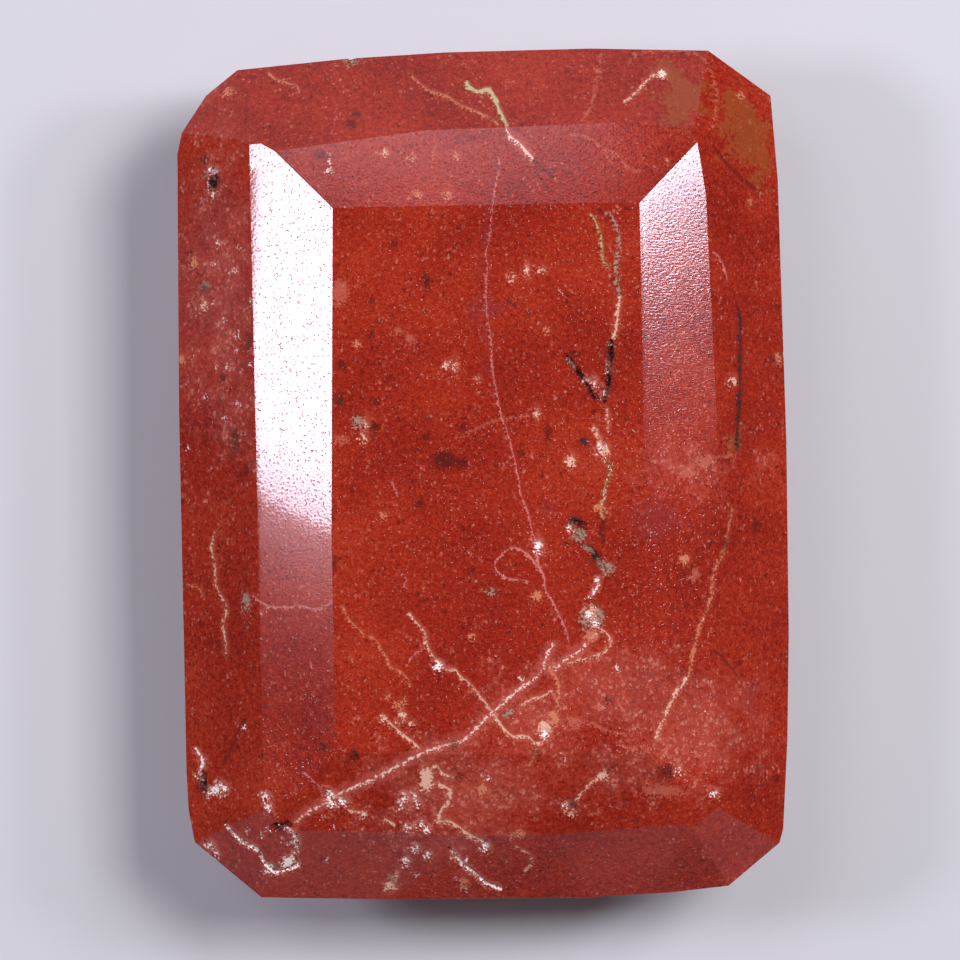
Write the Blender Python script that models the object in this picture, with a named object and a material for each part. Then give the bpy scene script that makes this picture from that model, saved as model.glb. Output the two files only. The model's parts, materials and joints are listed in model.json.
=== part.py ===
"""Red jasper cut as a long step-cut octagon, lying table up on its flat base.

Units are metres and +Z is up. The base lies on z = 0, the table faces up, and the length runs
along Y. The stone is one solid. It starts as a block of rough, and every facet is one flat cut
through it, in the order in which a cutter works: outline, crown, table, pavilion.
"""

from collections import namedtuple
from math import cos, radians, sin

import bmesh
import bpy
from mathutils import Matrix, Vector

MM = 0.001

# Heights of the steps, from the base up

PAVILION_LOWER_RISE = 4.8 * MM
PAVILION_UPPER_RISE = 5.6 * MM
GIRDLE_THICKNESS = 2.0 * MM
CROWN_OUTER_RISE = 4.8 * MM
CROWN_INNER_RISE = 2.8 * MM

Z_PAVILION_STEP = PAVILION_LOWER_RISE
Z_GIRDLE_BOTTOM = Z_PAVILION_STEP + PAVILION_UPPER_RISE
Z_GIRDLE_TOP = Z_GIRDLE_BOTTOM + GIRDLE_THICKNESS
Z_TABLE = Z_GIRDLE_TOP + CROWN_OUTER_RISE + CROWN_INNER_RISE

# How far the pavilion's upper and lower step run inward, on a side and on a corner

PAVILION_SIDE_RUNS = (4.6 * MM, 7.6 * MM)
PAVILION_CORNER_RUNS = (3.7 * MM, 5.4 * MM)

# The block of rough that the stone is cut from

ROUGH_SIZE = (60.0 * MM, 80.0 * MM, 30.0 * MM)

# One row for each flat of the outline, anticlockwise from the right side. "facing" is the
# direction it looks in, in degrees from +X. "reach" is the girdle's distance from the middle
# and "run" is how far the outer crown step goes inward from there, in millimetres. The long
# sides and most corners were ground in several passes a few degrees apart, so they look very
# slightly bowed.

Flat = namedtuple("Flat", "facing reach run corner")
FLATS = (
    Flat(facing=0.7, reach=24.95, run=5.87, corner=False),
    Flat(facing=1.9, reach=24.99, run=5.84, corner=False),
    Flat(facing=4.9, reach=26.18, run=5.90, corner=False),
    Flat(facing=54.1, reach=39.02, run=6.16, corner=True),
    Flat(facing=89.0, reach=35.12, run=6.69, corner=False),
    Flat(facing=91.5, reach=34.73, run=6.77, corner=False),
    Flat(facing=93.7, reach=34.79, run=6.69, corner=False),
    Flat(facing=96.0, reach=35.13, run=6.04, corner=False),
    Flat(facing=129.1, reach=38.57, run=6.15, corner=True),
    Flat(facing=146.7, reach=36.20, run=5.75, corner=True),
    Flat(facing=168.0, reach=30.18, run=6.28, corner=True),
    Flat(facing=180.4, reach=25.09, run=6.57, corner=False),
    Flat(facing=181.2, reach=25.02, run=6.48, corner=False),
    Flat(facing=183.2, reach=25.85, run=6.50, corner=False),
    Flat(facing=191.0, reach=29.19, run=6.36, corner=True),
    Flat(facing=230.3, reach=38.61, run=6.10, corner=True),
    Flat(facing=269.1, reach=35.25, run=5.80, corner=False),
    Flat(facing=270.5, reach=35.06, run=5.62, corner=False),
    Flat(facing=273.4, reach=35.41, run=5.72, corner=False),
    Flat(facing=276.6, reach=36.09, run=5.66, corner=False),
    Flat(facing=310.2, reach=38.98, run=6.20, corner=True),
    Flat(facing=345.0, reach=31.40, run=6.30, corner=True),
    Flat(facing=357.3, reach=26.01, run=5.95, corner=False),
    Flat(facing=359.3, reach=25.27, run=6.05, corner=False),
)

# The inner crown step. "reach" is the distance from the middle to the facet's edge on the table,
# and "run" is how far the facet goes outward and down from there to the outer step.

Inner = namedtuple("Inner", "facing reach run")
INNER_STEP = (
    Inner(facing=1.2, reach=13.00, run=6.15),
    Inner(facing=91.0, reach=21.62, run=6.28),
    Inner(facing=179.8, reach=12.29, run=6.23),
    Inner(facing=181.2, reach=12.41, run=6.15),
    Inner(facing=230.0, reach=26.65, run=5.80),
    Inner(facing=269.6, reach=22.76, run=6.70),
    Inner(facing=272.2, reach=22.92, run=6.65),
    Inner(facing=308.8, reach=26.90, run=5.80),
    Inner(facing=359.8, reach=13.09, run=6.15),
)

# Natural hollows that the polished surface cuts open. Each is an ellipsoid whose middle lies on
# the surface: its place from the middle of the stone, its length, width and depth in
# millimetres, and the direction of its length in degrees from +X.

Hollow = namedtuple("Hollow", "x y length width depth along")
HOLLOWS = (
    Hollow(x=10.1, y=8.3, length=3.4, width=0.75, depth=0.45, along=97),
    Hollow(x=8.75, y=7.2, length=1.9, width=0.65, depth=0.40, along=118),
    Hollow(x=7.7, y=-4.3, length=1.2, width=0.90, depth=0.40, along=20),
    Hollow(x=8.9, y=-11.6, length=1.7, width=1.20, depth=0.40, along=75),
    Hollow(x=-23.0, y=-25.5, length=1.5, width=0.80, depth=0.60, along=95),
    Hollow(x=-22.2, y=24.0, length=1.6, width=0.80, depth=0.45, along=92),
    Hollow(x=-16.9, y=-29.4, length=1.3, width=0.85, depth=0.45, along=15),
)
HOLLOW_SEGMENTS = 14
HOLLOW_RINGS = 8

# Polished red jasper: a dense brick-red quartz

JASPER_RED = (0.36, 0.028, 0.014, 1.0)
JASPER_ROUGHNESS = 0.16


def clear_scene():
    for old in list(bpy.data.objects):
        bpy.data.objects.remove(old, do_unlink=True)


def make_collection(name):
    collection = bpy.data.collections.new(name)
    bpy.context.scene.collection.children.link(collection)
    return collection


def jasper_material():
    material = bpy.data.materials.new("polished_red_jasper")
    material.use_nodes = True
    shader = material.node_tree.nodes["Principled BSDF"]
    shader.inputs["Base Color"].default_value = JASPER_RED
    shader.inputs["Roughness"].default_value = JASPER_ROUGHNESS
    shader.inputs["Metallic"].default_value = 0.0
    return material


def outward(flat):
    return Vector((cos(radians(flat.facing)), sin(radians(flat.facing)), 0.0))


def step_facet(flat, reach, height, rise, run):
    """The plane that climbs by rise while it runs inward by run, from its edge at reach, height.

    A negative rise goes down, as the pavilion does. Gives a point on it and its outward normal.
    """
    direction = outward(flat)
    point = direction * reach + Vector((0.0, 0.0, height))
    normal = direction * abs(rise) + Vector((0.0, 0.0, run if rise > 0 else -run))
    return point, normal.normalized()


def outline_facets():
    """The upright wall of the girdle, all the way round."""
    return [(outward(flat) * flat.reach * MM, outward(flat)) for flat in FLATS]


def crown_facets():
    """Both steps of the crown, and the table."""
    facets = []
    for flat in FLATS:
        facets.append(step_facet(flat, flat.reach * MM, Z_GIRDLE_TOP, CROWN_OUTER_RISE, flat.run * MM))
    for flat in INNER_STEP:
        facets.append(step_facet(flat, flat.reach * MM, Z_TABLE, CROWN_INNER_RISE, flat.run * MM))
    facets.append((Vector((0.0, 0.0, Z_TABLE)), Vector((0.0, 0.0, 1.0))))
    return facets


def pavilion_facets():
    """Both steps under the girdle, and the flat base."""
    facets = []
    for flat in FLATS:
        reach = flat.reach * MM
        upper, lower = PAVILION_CORNER_RUNS if flat.corner else PAVILION_SIDE_RUNS
        facets.append(step_facet(flat, reach, Z_GIRDLE_BOTTOM, -PAVILION_UPPER_RISE, upper))
        facets.append(step_facet(flat, reach - upper, Z_PAVILION_STEP, -PAVILION_LOWER_RISE, lower))
    facets.append((Vector((0.0, 0.0, 0.0)), Vector((0.0, 0.0, -1.0))))
    return facets


def grind(bm, point, normal):
    """Cut everything off that lies outside one plane, and close the cut with a facet."""
    cut = bmesh.ops.bisect_plane(
        bm, geom=bm.verts[:] + bm.edges[:] + bm.faces[:], dist=1e-7,
        plane_co=point, plane_no=normal, clear_outer=True,
    )
    rim = [piece for piece in cut["geom_cut"] if isinstance(piece, bmesh.types.BMEdge)]
    if len(rim) > 2:
        bmesh.ops.edgeloop_fill(bm, edges=rim)


def crown_height(x, y):
    """Height of the crown's surface over a place: the lowest of its planes there."""
    heights = []
    for point, normal in crown_facets():
        across = Vector((x - point.x, y - point.y, 0.0)).dot(normal)
        heights.append(point.z - across / normal.z)
    return min(heights)


def hollow_cutter(number, hollow, collection):
    mesh = bpy.data.meshes.new(f"hollow_cutter_{number}")
    bm = bmesh.new()
    bmesh.ops.create_uvsphere(bm, u_segments=HOLLOW_SEGMENTS, v_segments=HOLLOW_RINGS, radius=0.5)
    size = Vector((hollow.length, hollow.width, 2.0 * hollow.depth)) * MM
    bmesh.ops.scale(bm, vec=size, verts=bm.verts)
    bmesh.ops.rotate(bm, matrix=Matrix.Rotation(radians(hollow.along), 3, "Z"), verts=bm.verts)
    bm.to_mesh(mesh)
    bm.free()
    cutter = bpy.data.objects.new(mesh.name, mesh)
    x, y = hollow.x * MM, hollow.y * MM
    cutter.location = (x, y, crown_height(x, y))
    cutter.hide_render = True
    cutter.display_type = "WIRE"
    collection.objects.link(cutter)
    return cutter


def make_stone(collection):
    """The cut stone, with the middle of its outline on the Z axis."""
    mesh = bpy.data.meshes.new("red_jasper_stone")
    bm = bmesh.new()
    bmesh.ops.create_cube(bm, size=1.0)
    bmesh.ops.scale(bm, vec=ROUGH_SIZE, verts=bm.verts)
    bmesh.ops.translate(bm, vec=(0.0, 0.0, Z_GIRDLE_BOTTOM), verts=bm.verts)
    for point, normal in outline_facets() + crown_facets() + pavilion_facets():
        grind(bm, point, normal)
    bmesh.ops.remove_doubles(bm, verts=bm.verts, dist=2e-6)
    bmesh.ops.recalc_face_normals(bm, faces=bm.faces)
    bm.to_mesh(mesh)
    bm.free()
    mesh.materials.append(jasper_material())
    stone = bpy.data.objects.new(mesh.name, mesh)
    collection.objects.link(stone)
    return stone


def cut_hollows(stone, collection):
    for number, hollow in enumerate(HOLLOWS, start=1):
        cut = stone.modifiers.new(f"hollow_{number}", "BOOLEAN")
        cut.operation = "DIFFERENCE"
        cut.object = hollow_cutter(number, hollow, collection)


def centre_outline(objects, stone):
    """Slide everything so that the middle of the stone's box lies on the Z axis."""
    for axis in (0, 1):
        values = [vertex.co[axis] for vertex in stone.data.vertices]
        middle = (min(values) + max(values)) / 2
        for item in objects:
            item.location[axis] -= middle


def main():
    clear_scene()
    parts = make_collection("red_jasper")
    cutters = make_collection("cutters")
    stone = make_stone(parts)
    cut_hollows(stone, cutters)
    centre_outline([stone, *cutters.objects], stone)


main()
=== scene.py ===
# %% [markdown]
# # A cut and polished red jasper
#
# The object is one large red jasper. Jasper is quartz with a grain so fine that no light passes
# through it, and iron oxide gives it a brick red. This one was cut by hand as a long octagon
# with stepped edges and polished. It lies with its widest facet, the table, facing up.
#
# The measured model gives the stone's size and its facets. This lesson cuts the same stone again
# with finer detail, and then gives it its red, its veins, its pits and its polish.

# %% Load the measured model
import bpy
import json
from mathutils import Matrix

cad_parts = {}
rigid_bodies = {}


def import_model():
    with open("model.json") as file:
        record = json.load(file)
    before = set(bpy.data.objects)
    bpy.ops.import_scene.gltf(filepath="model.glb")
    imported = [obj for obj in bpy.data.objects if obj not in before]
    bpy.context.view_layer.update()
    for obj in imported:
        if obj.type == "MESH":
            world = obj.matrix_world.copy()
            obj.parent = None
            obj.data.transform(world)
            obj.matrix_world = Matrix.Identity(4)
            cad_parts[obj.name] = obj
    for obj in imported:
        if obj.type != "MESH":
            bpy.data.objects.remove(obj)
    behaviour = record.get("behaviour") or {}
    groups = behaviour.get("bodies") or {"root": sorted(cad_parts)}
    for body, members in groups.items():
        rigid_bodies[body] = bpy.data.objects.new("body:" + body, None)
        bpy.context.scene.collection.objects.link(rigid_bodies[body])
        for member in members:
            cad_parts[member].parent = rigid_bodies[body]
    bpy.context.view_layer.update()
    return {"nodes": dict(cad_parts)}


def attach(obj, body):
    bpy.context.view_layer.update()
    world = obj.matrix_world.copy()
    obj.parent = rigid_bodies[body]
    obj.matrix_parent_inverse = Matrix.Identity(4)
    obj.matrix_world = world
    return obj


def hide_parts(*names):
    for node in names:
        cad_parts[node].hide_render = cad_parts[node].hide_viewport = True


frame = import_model()

measured = frame["nodes"]["red_jasper_stone"]

# %% [markdown]
# The script works in metres. Sizes on the stone are easier to read in millimetres, so they are
# written with MM. An operator acts on all that is selected, so there is one helper that leaves
# a single object selected and active.

# %% Units and selection
import json
from collections import namedtuple
from math import atan2, cos, degrees, pi, radians, sin

import bmesh
import bpy
import numpy as np
from mathutils import Matrix, Vector, noise
from mathutils.bvhtree import BVHTree

MM = 0.001


def only(piece):
    """Leave this object alone selected, and make it the active one."""
    bpy.ops.object.select_all(action="DESELECT")
    piece.select_set(True)
    bpy.context.view_layer.objects.active = piece


print("a millimetre is", MM, "metres")

# %% [markdown]
# The photograph was taken from straight above with a long lens. The camera stands 40 cm over the
# stone's girdle, the upright band round its widest part. It is a little off the stone's middle,
# because the stone isn't quite in the middle of the picture. The sensor and the lens are given in
# millimetres, as on a real camera.

# %% The camera
PICTURE = 960
SENSOR = 36.0
LENS = 182.1
CAMERA_PLACE = Vector((-0.249, -0.498, 412.4)) * MM
GIRDLE_TOP = 12.4 * MM

bpy.ops.object.select_all(action="DESELECT")
bpy.ops.object.camera_add(location=CAMERA_PLACE, rotation=(0.0, 0.0, 0.0))
camera = bpy.context.object
camera.name = "camera"
camera.data.sensor_width = SENSOR
camera.data.lens = LENS
camera.data.clip_start = 0.01
camera.data.clip_end = 10.0
bpy.context.scene.camera = camera
camera_height = (CAMERA_PLACE.z - GIRDLE_TOP) / MM
print("width of the picture at the girdle in mm:", round(camera_height * SENSOR / LENS, 2))

# %% [markdown]
# Veins, pits and highlights are placed by where they lie in the photograph. A ray from the
# camera through a pixel meets the measured stone at the place that the pixel shows. A ray that
# just misses the stone stops at the height of the girdle. Pixels count from the upper left
# corner, and the picture is 960 pixels wide and high.

# %% From the picture to the stone
measured_surface = BVHTree.FromObject(measured, bpy.context.evaluated_depsgraph_get())


def sight(px, py):
    """The direction in which the camera looks through a pixel."""
    half = SENSOR / 2 / LENS
    return Vector(((2 * px / PICTURE - 1) * half, (1 - 2 * py / PICTURE) * half, -1.0)).normalized()


def seen_at(px, py):
    """The place on the stone that a pixel shows, and the way the surface faces there."""
    look = sight(px, py)
    place, facing, _, _ = measured_surface.ray_cast(CAMERA_PLACE, look)
    if place is None:
        place = CAMERA_PLACE + look * ((GIRDLE_TOP - CAMERA_PLACE.z) / look.z)
        facing = Vector((0.0, 0.0, 1.0))
    return place, facing


def on_stone(points):
    """Pixels as places on the stone seen from above, X and Y in millimetres."""
    return np.array([seen_at(px, py)[0].xy for px, py in points]) / MM


print("the middle of the picture shows, in mm:", on_stone([(480, 480)])[0].round(2))

# %% [markdown]
# ## The cut
#
# A stone cutter presses a flat lap against the rough once for each facet. The same is done here:
# a block is cut by one plane after the other. The planes come from the measured model, by
# sorting its triangles into the flat facets that they belong to. The triangles in the small
# hollows belong to no large facet, and are left out.

# %% Find the planes of the facets
Facet = namedtuple("Facet", "point facing area")
SAME_WAY = cos(radians(0.2))
SAME_PLANE = 0.02 * MM
SMALLEST_FACET = 1.0 * MM * MM


def find_facets(mesh):
    """The large flat facets of a mesh, the widest first."""
    facets = []
    for face in sorted(mesh.polygons, key=lambda face: -face.area):
        for number, facet in enumerate(facets):
            gap = abs((face.center - facet.point).dot(facet.facing))
            if face.normal.dot(facet.facing) > SAME_WAY and gap < SAME_PLANE:
                facets[number] = facet._replace(area=facet.area + face.area)
                break
        else:
            facets.append(Facet(face.center.copy(), face.normal.copy(), face.area))
    return [facet for facet in facets if facet.area > SMALLEST_FACET]


facets = find_facets(measured.data)
print(len(facets), "facets; the widest has", round(facets[0].area / MM / MM), "square mm")

# %% [markdown]
# The block is a cube a little larger than the finished stone. Bisect cuts it, throws away what
# lies outside the plane, and closes the cut with a new face, which is the facet.

# %% Cut the block
ROUGH_SIZE = (60.0 * MM, 80.0 * MM, 30.0 * MM)
ROUGH_MIDDLE = (0.0, 0.0, 10.0 * MM)
TOUCHING = 1e-6

bpy.ops.object.select_all(action="DESELECT")
bpy.ops.mesh.primitive_cube_add(size=1.0, location=ROUGH_MIDDLE)
stone = bpy.context.object
stone.name = "red_jasper"
stone.scale = ROUGH_SIZE
bpy.ops.object.transform_apply(location=True, rotation=True, scale=True)

bpy.ops.object.mode_set(mode="EDIT")
for facet in facets:
    bpy.ops.mesh.select_all(action="SELECT")
    bpy.ops.mesh.bisect(
        plane_co=facet.point, plane_no=facet.facing, use_fill=True, clear_outer=True,
        threshold=TOUCHING,
    )
bpy.ops.object.mode_set(mode="OBJECT")
print(len(stone.data.polygons), "faces after the cut")

# %% [markdown]
# Polishing takes the very edge off. On a stone of this size the edges between the facets are
# rounded by less than a tenth of a millimetre. Where two passes of the lap meet at a few degrees
# there is no real edge to round, so only sharper ones are selected.

# %% Round the edges
EDGE_ROUND = 0.03 * MM
REAL_EDGE = radians(6.0)
SAME_POINT = 0.002 * MM

bpy.ops.object.mode_set(mode="EDIT")
bpy.ops.mesh.select_mode(type="EDGE")
bpy.ops.mesh.select_all(action="DESELECT")
bpy.ops.mesh.edges_select_sharp(sharpness=REAL_EDGE)
bpy.ops.mesh.bevel(offset=EDGE_ROUND, segments=3, profile=0.5, clamp_overlap=False)
bpy.ops.mesh.select_all(action="SELECT")
bpy.ops.mesh.remove_doubles(threshold=SAME_POINT)
bpy.ops.object.mode_set(mode="OBJECT")
print(len(stone.data.polygons), "faces with rounded edges")

# %% [markdown]
# The facets need points inside them before anything on them can be shaped. Planes one
# millimetre apart cut the whole surface into small squares, and cut nothing off. A slight shift
# keeps them off the stone's own corners. Then all faces are turned into triangles, so that none
# is bent later.

# %% Give the facets points to shape
GRID = 1.0
GRID_SHIFT = 0.013
HALF_WIDTH, HALF_LENGTH = 25, 35

bpy.ops.object.mode_set(mode="EDIT")
for axis, reach in ((0, HALF_WIDTH), (1, HALF_LENGTH)):
    for step in np.arange(-reach, reach + GRID / 2, GRID):
        across = Vector((0.0, 0.0, 0.0))
        across[axis] = 1.0
        plane = across * (step + GRID_SHIFT) * MM
        bpy.ops.mesh.select_all(action="SELECT")
        bpy.ops.mesh.bisect(plane_co=plane, plane_no=across, threshold=TOUCHING)
bpy.ops.mesh.select_all(action="SELECT")
bpy.ops.mesh.quads_convert_to_tris()
bpy.ops.object.mode_set(mode="OBJECT")
print(len(stone.data.polygons), "faces with the grid")

# %% [markdown]
# ## Hollows and open veins
#
# The lap cut a few natural hollows open. Some are long cracks along a vein, and some are pockets
# lined with small crystals. Two small chips were knocked off the rim. Each is drawn as a line of
# pixels with its width and depth in millimetres.

# %% Where the surface is open
Hollow = namedtuple("Hollow", "width depth points")
HOLLOWS = (
    Hollow(0.45, 0.45, [(611, 342), (611, 356), (609, 369), (608, 383), (604, 400)]),
    Hollow(0.45, 0.40, [(566, 356), (576, 368), (585, 382), (596, 399)]),
    Hollow(0.80, 0.40, [(574, 524), (583, 526), (580, 533)]),
    Hollow(0.35, 0.25, [(582, 546), (592, 549), (596, 557), (603, 565)]),
    Hollow(1.00, 0.35, [(590, 605), (592, 616), (596, 626)]),
    Hollow(0.25, 0.12, [(604, 440), (604, 460), (611, 469), (606, 483), (604, 496), (601, 510)]),
    Hollow(0.70, 0.60, [(203, 774), (203, 792)]),
    Hollow(0.35, 0.20, [(207, 788), (220, 784), (226, 788)]),
    Hollow(0.35, 0.25, [(226, 824), (236, 836), (248, 844), (259, 851), (266, 864), (276, 872)]),
    Hollow(0.40, 0.25, [(276, 872), (286, 870), (298, 864), (293, 856), (298, 846), (296, 836)]),
    Hollow(0.75, 0.40, [(274, 828), (288, 825)]),
    Hollow(0.80, 0.45, [(213, 173), (213, 190)]),
    Hollow(0.35, 0.20, [(449, 848), (463, 864), (476, 874), (488, 884), (500, 888)]),
    Hollow(0.45, 0.20, [(326, 794), (334, 802), (343, 801)]),
    Hollow(0.45, 0.20, [(486, 841), (486, 848)]),
    Hollow(0.60, 0.20, [(353, 58), (350, 62)]),
    Hollow(0.60, 0.25, [(781, 356), (779, 361)]),
)


def distance_to_line(places, line):
    """How far each place is from a drawn line, seen from above, in millimetres."""
    nearest = np.full(len(places), 1e9)
    for start, end in zip(line[:-1], line[1:]):
        along = end - start
        share = np.clip((places - start) @ along / (along @ along), 0.0, 1.0)
        gap = np.linalg.norm(places - (start + share[:, None] * along), axis=1)
        nearest = np.minimum(nearest, gap)
    return nearest


hollow_lines = [on_stone(hollow.points) for hollow in HOLLOWS]
print(len(HOLLOWS), "hollows, the longest of", max(len(line) for line in hollow_lines), "points")

# %% [markdown]
# A hollow half a millimetre wide can't be shaped on a one-millimetre grid. The faces round each
# hollow are selected by their distance from it and subdivided twice, the second time in a
# narrower band. The rest of the stone stays as coarse as it is, which keeps the mesh light.

# %% Finer faces round the hollows
MARGINS = (0.75, 0.22)
CUTS = 3
LOOKS_UP = 0.2

bpy.ops.object.mode_set(mode="EDIT")
bpy.ops.mesh.select_mode(type="FACE")
for margin in MARGINS:
    bpy.ops.mesh.select_all(action="DESELECT")
    edit = bmesh.from_edit_mesh(stone.data)
    faces = [face for face in edit.faces if face.normal.z > LOOKS_UP]
    middles = np.array([face.calc_center_median()[:2] for face in faces]) / MM
    near = np.zeros(len(faces), bool)
    for hollow, line in zip(HOLLOWS, hollow_lines):
        near |= distance_to_line(middles, line) < hollow.width / 2 + margin
    for face, chosen in zip(faces, near):
        if chosen:
            face.select_set(True)
    bmesh.update_edit_mesh(stone.data)
    bpy.ops.mesh.subdivide(number_cuts=CUTS)
    bpy.ops.mesh.select_all(action="SELECT")
    bpy.ops.mesh.quads_convert_to_tris()
bpy.ops.object.mode_set(mode="OBJECT")
print(len(stone.data.polygons), "faces with fine ones at the hollows")

# %% [markdown]
# Now the points are moved. A hand-held polish is never quite flat: it waves by a few thousandths
# of a millimetre, which bends the edge of every reflection. In the hollows the points sink, with
# ragged sides and a rough floor, because nothing there was ground. Every move goes inwards. The
# lengths are in millimetres, and each noise has the length over which it changes.

# %% Read the points and wave the polish
WAVE = 0.004
WAVE_LENGTH = 9.0

mesh = stone.data
count = len(mesh.vertices)
places = np.empty(count * 3)
mesh.vertices.foreach_get("co", places)
places = places.reshape(count, 3) / MM
facing = np.array([vertex.normal[:] for vertex in mesh.vertices])

wave = np.array([noise.noise(Vector(place / WAVE_LENGTH)) for place in places])
places -= facing * (WAVE * (1.0 + wave))[:, None]
print(count, "points, waved by up to", 2 * WAVE, "mm")

# %% Sink the hollows
RAGGED_PER_MM = 2.3
ROUGH_PER_MM = 5.5
ELSEWHERE = 40.0
RAGGEDNESS = 0.45
FLOOR_MEAN, FLOOR_ROUGHNESS = 0.8, 0.7
LOOKS_DOWN = -0.2

crown_side = facing[:, 2] > LOOKS_DOWN
ragged = np.array([noise.noise(Vector(place * RAGGED_PER_MM)) for place in places])
rough = np.array([noise.noise(Vector(place * ROUGH_PER_MM + ELSEWHERE)) for place in places])
sunk = np.zeros(count)
for hollow, line in zip(HOLLOWS, hollow_lines):
    side = hollow.width / 2 * (1.0 + RAGGEDNESS * ragged)
    share = distance_to_line(places[:, :2], line) / side
    bowl = np.sqrt(np.clip(1.0 - share ** 2, 0.0, 1.0))
    depth = hollow.depth * bowl * (FLOOR_MEAN + FLOOR_ROUGHNESS * rough)
    sunk = np.where(crown_side & (share < 1.0), np.maximum(sunk, depth), sunk)
places -= facing * sunk[:, None]

mesh.vertices.foreach_set("co", (places * MM).ravel())
mesh.update()
print("deepest hollow in mm:", round(float(sunk.max()), 2))

# %% [markdown]
# The stone is shaded smooth, except where two faces meet at more than three degrees. So a facet
# shows its slow waves as one surface and keeps a crisp border, and the broken floor of a hollow
# glitters, because each small face there catches the light on its own.

# %% Smooth facets with crisp borders
CRISP = radians(3.0)

only(stone)
bpy.ops.object.shade_smooth_by_angle(angle=CRISP)
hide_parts("red_jasper_stone")
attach(stone, "root")
print(len(stone.data.polygons), "triangles in the finished stone")

# %% [markdown]
# ## The jasper
#
# Red jasper is quartz coloured by fine iron oxide. It is dense and has no grain that can be
# felt, and a fine abrasive polishes it to a wet gloss, so the surface is smooth with an index
# of refraction of 1.54. All patterns are built from nodes on the stone's own coordinates.
#
# One helper turns a hex colour, as a painter picks it, to the linear values that the shader
# needs. Another adds a node with its settings and links.

# %% Two helpers for the material
def linear(hex_colour):
    """An sRGB hex colour as linear red, green, blue and alpha."""
    parts = [int(hex_colour[i:i + 2], 16) / 255 for i in (1, 3, 5)]
    return [p / 12.92 if p <= 0.04045 else ((p + 0.055) / 1.055) ** 2.4 for p in parts] + [1.0]


def add(tree, kind, inputs, out=0, **settings):
    """Add a node, set it, link or fill its inputs, and give back one of its outputs."""
    made = tree.nodes.new("ShaderNode" + kind)
    for name, value in settings.items():
        setattr(made, name, value)
    for socket, value in inputs.items():
        if isinstance(value, bpy.types.NodeSocket):
            tree.links.new(value, made.inputs[socket])
        else:
            made.inputs[socket].default_value = value
    return made.outputs[out]


print("brick red as linear values:", [round(value, 3) for value in linear("#A22A19")])

# %% [markdown]
# The nodes work in millimetres. The veins are drawn as seen from above, because that is how the
# photograph shows them. In a real stone they are sheets that run down through it at a slant, so
# under the girdle the pattern leans to one side. A little noise shifts it by a tenth of a
# millimetre, so that no line on the stone has a ruled edge. The spots are shifted by more, which
# tears their outlines. Four noises serve the whole material. Their scales say how many waves
# each has to the millimetre, from the single grain to the slow drift of the red.

# %% Coordinates on the stone
LEAN = np.array((-0.75, 0.55))
FINE, GRAIN, SWARM, DRIFT = 5.5, 2.4, 0.55, 0.13
JITTER = 0.6
TEAR = (2.6, 2.6, 2.6)
Ground = namedtuple("Ground", "in_mm height drawn torn fine grain swarm drift")


def coordinates(tree):
    """Nodes that say where on the stone a place lies, plain and as the veins see it."""
    here = add(tree, "TexCoord", {}, out=3)
    in_mm = add(tree, "VectorMath", {0: here, "Scale": 1.0 / MM}, operation="SCALE")
    fine = add(tree, "TexNoise", {"Vector": in_mm, "Scale": FINE, "Detail": 1.0})
    grain = add(tree, "TexNoise", {"Vector": in_mm, "Scale": GRAIN, "Detail": 2.0, "Roughness": 0.7})
    swarm = add(tree, "TexNoise", {"Vector": in_mm, "Scale": SWARM, "Detail": 2.0})
    drift = add(tree, "TexNoise", {"Vector": in_mm, "Scale": DRIFT, "Detail": 2.0})
    jitter = add(tree, "CombineXYZ", {0: grain, 1: fine, 2: 0.5})
    jitter = add(tree, "VectorMath", {0: jitter, 1: (0.5, 0.5, 0.5)}, operation="SUBTRACT")
    jitter = add(tree, "VectorMath", {0: jitter, "Scale": JITTER}, operation="SCALE")
    height = add(tree, "SeparateXYZ", {0: in_mm}, out=2)
    under = add(tree, "Math", {0: GIRDLE_TOP / MM, 1: height}, operation="SUBTRACT")
    under = add(tree, "Math", {0: under, 1: 0.0}, operation="MAXIMUM")
    slant = add(tree, "VectorMath", {0: (*LEAN, 0.0), "Scale": under}, operation="SCALE")
    slanted = add(tree, "VectorMath", {0: in_mm, 1: slant}, operation="ADD")
    drawn = add(tree, "VectorMath", {0: slanted, 1: jitter}, operation="ADD")
    torn = add(tree, "VectorMath", {0: jitter, 1: TEAR, 2: slanted}, operation="MULTIPLY_ADD")
    return Ground(in_mm, height, drawn, torn, fine, grain, swarm, drift)


print("the veins lean", LEAN, "mm for each mm of depth")

# %% [markdown]
# ## Veins
#
# Old cracks in the stone were healed by other minerals: white and cream quartz, pink and orange
# quartz with a little iron, and dark iron and manganese oxides. Each vein is drawn as a line of
# pixels with a kind and a width in millimetres. Two widths mean that it tapers from one to the
# other.

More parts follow.
